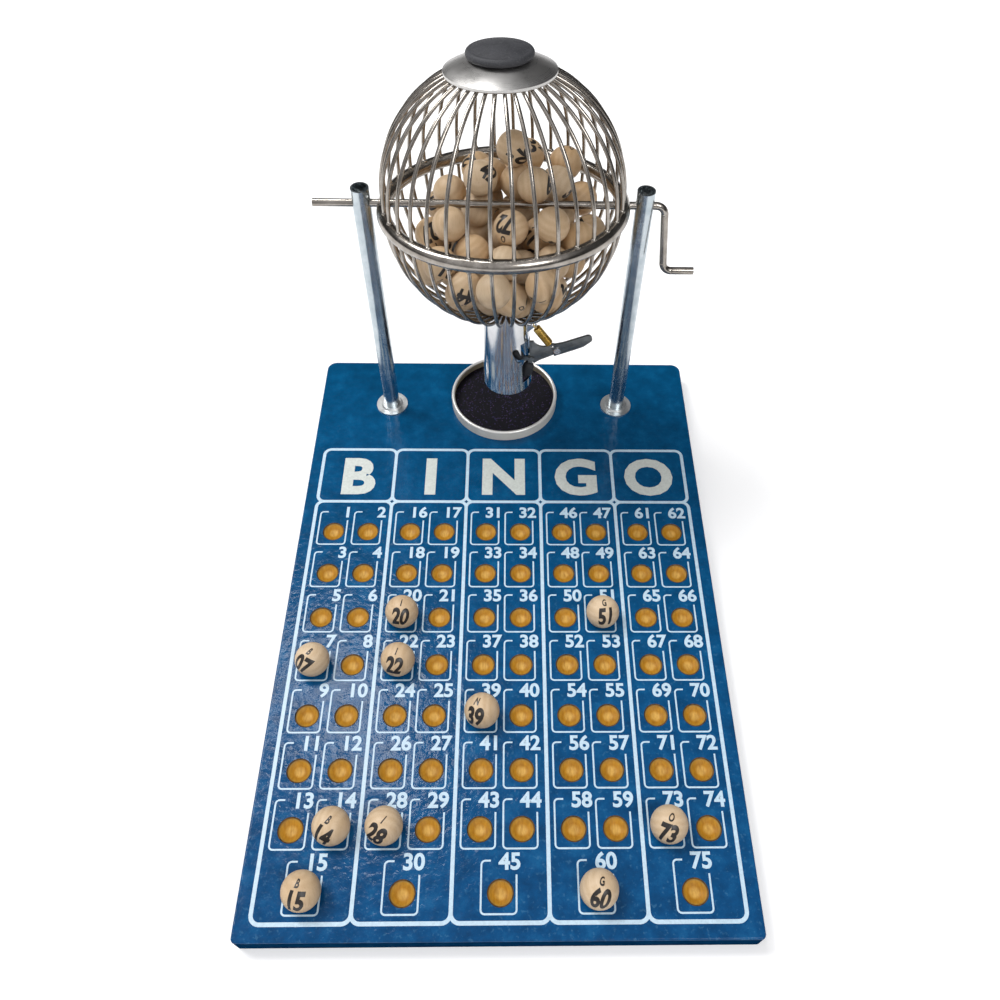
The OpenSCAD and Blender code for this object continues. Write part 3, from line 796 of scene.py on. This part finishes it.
def make_balls(wood, black):
    """The placed balls, turned as they lie on the board, and the heap in the cage."""
    dice = np.random.default_rng(11)

    def random_turns(count):
        return [Matrix.Rotation(math.acos(dice.uniform(-1, 1)), 3, "X")
                @ Matrix.Rotation(dice.uniform(0, 2 * math.pi), 3, "Z") for _ in range(count)]

    board_centres = sphere_centres("board_balls")
    spots = {n: seat_place(n) for n in PLACED_BALLS}
    order = []
    for centre in board_centres:
        gaps = {n: (Vector(board_point(*spots[n])) - centre.xy).length for n in PLACED_BALLS}
        order.append(min(gaps, key=gaps.get))
    facing = {7: (-36, 50, 0), 14: (-30, 50, 0), 15: (-14, 56, 4), 20: (-2, 52, -4),
              22: (-12, 50, 0), 28: (-28, 52, -6), 39: (-40, 48, 26), 51: (6, 52, 0),
              60: (-6, 58, -4), 73: (-22, 52, 4)}
    ball_group("turned_board_balls", "board_balls", board_centres,
               random_turns(len(board_centres)), dice.uniform(0.0, 0.45, len(board_centres)),
               "base", wood)
    ball_marks("board_ball_marks", board_centres, order, [look(*facing[n]) for n in order],
               "base", black)
    cage_centres = sphere_centres("cage_balls")
    left = [n for n in range(1, LAST_NUMBER + 1) if n not in PLACED_BALLS]
    dice.shuffle(left)
    ball_group("turned_cage_balls", "cage_balls", cage_centres, random_turns(len(cage_centres)),
               dice.uniform(0.0, 0.8, len(cage_centres)), "cage", wood)
    looks = [look(dice.uniform(-180, 180), math.degrees(math.asin(dice.uniform(-1, 1))),
                  dice.uniform(-180, 180)) for _ in cage_centres]
    ball_marks("cage_ball_marks", cage_centres, left, looks, "cage", black)


# ---------- wound return spring ----------

def make_spring(material):
    """A close-wound extension spring with a hook at each end."""
    wire_r = 0.38
    coil_r = 2.08
    hook_r = 1.35
    hook_length = 3.0
    hook_steps = 12
    run = LEVER_HOOK - LUG_HOOK
    way = run.normalized()
    side = Vector((0, 1, 0))
    up = way.cross(side)
    coil_length = run.length - 2 * hook_length
    turns = coil_length / (2.15 * wire_r)
    steps = int(turns * 20)
    path = []
    for k in range(hook_steps):
        turn = math.radians(200 - 200 * k / 14)
        path.append(LUG_HOOK + hook_r * ((1 + math.cos(turn)) * way - math.sin(turn) * side))
    for k in range(steps + 1):
        part = k / steps
        turn = 2 * math.pi * turns * part
        path.append(LUG_HOOK + way * (hook_length + coil_length * part)
                    + coil_r * (math.cos(turn) * side + math.sin(turn) * up))
    for k in range(hook_steps):
        turn = math.radians(200 * k / 11)
        path.append(LEVER_HOOK + hook_r * ((math.cos(turn) - 1) * way + math.sin(turn) * side))
    points, faces = tube_along(path, wire_r)
    placed = [CAGE_FRAME @ (p * MM) for p in points]
    piece = add_object("wound_spring", mesh_from("wound_spring", placed, faces), material,
                       None)
    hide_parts("lever_spring")
    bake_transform(piece)


# ---------- weld marks ----------

def make_welds(material):
    """A small bead where each wire meets the ring."""
    points, faces = ball_shape(12, 8)
    parts = []
    dice = np.random.default_rng(4)
    for i in range(WIRE_COUNT):
        turn = 2 * math.pi * (i + 0.5) / WIRE_COUNT
        for side in (-1, 1):
            size = dice.uniform(1.35, 1.75)
            centre = Vector((RING_R * math.cos(turn), RING_R * math.sin(turn), side * WELD_RISE))
            bead = [centre + size * Vector((p.x, p.y, 0.8 * p.z)) for p in points]
            parts.append(([CAGE_FRAME @ (p * MM) for p in bead], faces))
    add_object("wire_welds", joined("wire_welds", parts), material, "cage")


# ---------- the whole model ----------

def dress(names, material):
    """Gives CAD nodes their material."""
    for name in names:
        mesh = NODES[name].data
        mesh.materials.clear()
        mesh.materials.append(material)


def build():
    """Camera and studio first, then the finishes, then the pieces that Blender adds."""
    make_camera()
    make_studio()
    zinc = metal("zinc_plate", (0.56, 0.61, 0.64), (0.40, 0.46, 0.50), rough=(0.16, 0.32))
    nickel = metal("nickel_plate", (0.44, 0.405, 0.365), (0.28, 0.255, 0.225), rough=(0.12, 0.28),
                   streak=(0.05, 1, 1), grime=0.6)
    chrome = metal("bright_chrome", (0.66, 0.67, 0.68), (0.54, 0.55, 0.57), rough=(0.10, 0.17),
                   streak=(1, 1, 0.01), grime=0.05, relief=0.01)
    washer = metal("washer_plate", (0.86, 0.87, 0.86), (0.70, 0.72, 0.72), rough=(0.30, 0.45),
                   relief=0.04)
    steel = metal("dark_steel", (0.24, 0.25, 0.25), (0.15, 0.16, 0.16), rough=(0.30, 0.46),
                  streak=(0.06, 1, 1), grime=0.5)
    rivet = metal("bright_rivet", (0.86, 0.86, 0.85), (0.70, 0.70, 0.70), rough=(0.10, 0.2))
    brass = metal("yellow_zinc", (0.80, 0.56, 0.16), (0.46, 0.29, 0.06), rough=(0.16, 0.34),
                  grime=0.5)
    rubber = black_rubber("finger_rubber", (0.010, 0.011, 0.014), 0.08)
    plug = black_rubber("plug_rubber", (0.030, 0.031, 0.036), 0.45)
    dress(["base_board"], paint_board())
    dress(["left_post", "right_post", "post_plugs", "post_screws"], zinc)
    dress(["foot_washers"], washer)
    dress(["crank_axle", "equator_ring", "upper_wires", "lower_wires"], nickel)
    dress(["discharge_tube"], chrome)
    dress(["filler_cap"], spun_cap())
    dress(["lever_rivet"], rivet)
    dress(["lever_pin"], steel)
    dress(["upper_finger_sleeve", "lower_finger_sleeve"], rubber)
    dress(["filler_plug"], plug)
    dress(["tray_dish"], enamel())
    dress(["tray_lining"], glitter())
    for node in ("release_lever", "lever_handle"):
        softened(node, 0.22 * MM, "lever", steel)
    for node in ("lever_bracket", "spring_lug"):
        softened(node, 0.18 * MM, "cage", chrome)
    pale_ink = ink("pale_ink", (0.56, 0.73, 0.86))
    print_lines(pale_ink)
    print_numbers(pale_ink)
    print_header(ink("silver_ink", (0.66, 0.70, 0.66)))
    make_balls(ball_wood(), ink("black_ink", (0.018, 0.014, 0.012)))
    make_spring(brass)
    make_welds(nickel)


build()
